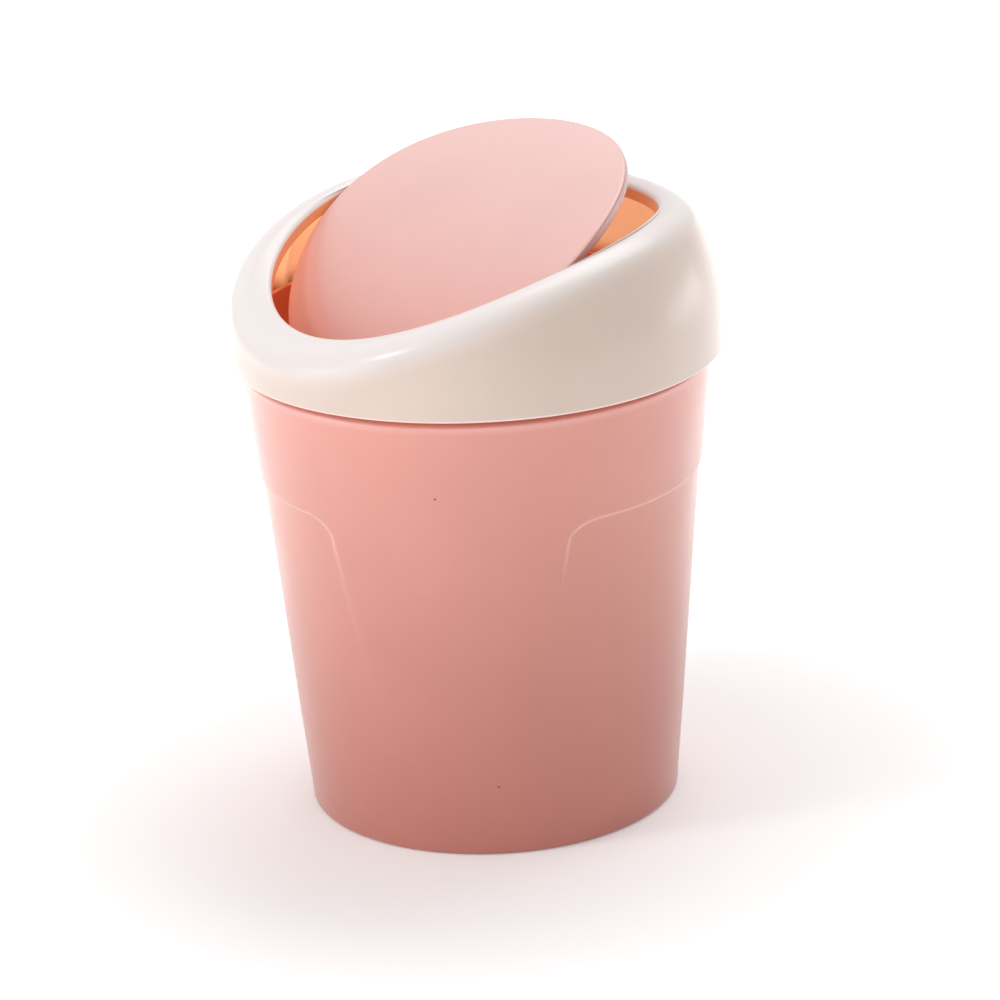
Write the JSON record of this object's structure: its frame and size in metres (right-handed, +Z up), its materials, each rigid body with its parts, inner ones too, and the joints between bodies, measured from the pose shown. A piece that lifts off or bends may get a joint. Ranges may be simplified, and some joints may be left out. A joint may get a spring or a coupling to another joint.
{
  "type": "swing-lid countertop bin",
  "caption": "Small round countertop trash can: a tapered bucket under a lift-off collar with a sloping mouth, closed by a bowed flap that swings on a horizontal hinge.",
  "frame": {"origin": "centre of the bucket's foot, on the surface it stands on", "axes": "+Z up; -Y towards the low front side of the sloping mouth, where the flap dips in; the hinge lies along X"},
  "size_m": [0.1318, 0.1318, 0.1799],
  "materials": {
    "bucket_pink": "semi-gloss",
    "collar_cream": "gloss",
    "flap_pink": "semi-gloss"
  },
  "bodies": {
    "bucket_body": {"bucket": "bucket_pink"},
    "collar_body": {"collar": "collar_cream"},
    "flap_body": {"flap": "flap_pink"}
  },
  "joints": [
    {"name": "collar_lift", "type": "slide", "parent": "bucket_body", "child": "collar_body", "axis": [0, 0, 1], "range_m": [0, 0.06]},
    {"name": "flap_swing", "type": "hinge", "parent": "collar_body", "child": "flap_body", "pos_m": [0, 0, 0.1485], "axis": [1, 0, 0], "range_deg": [-22.4, 45]}
  ]
}
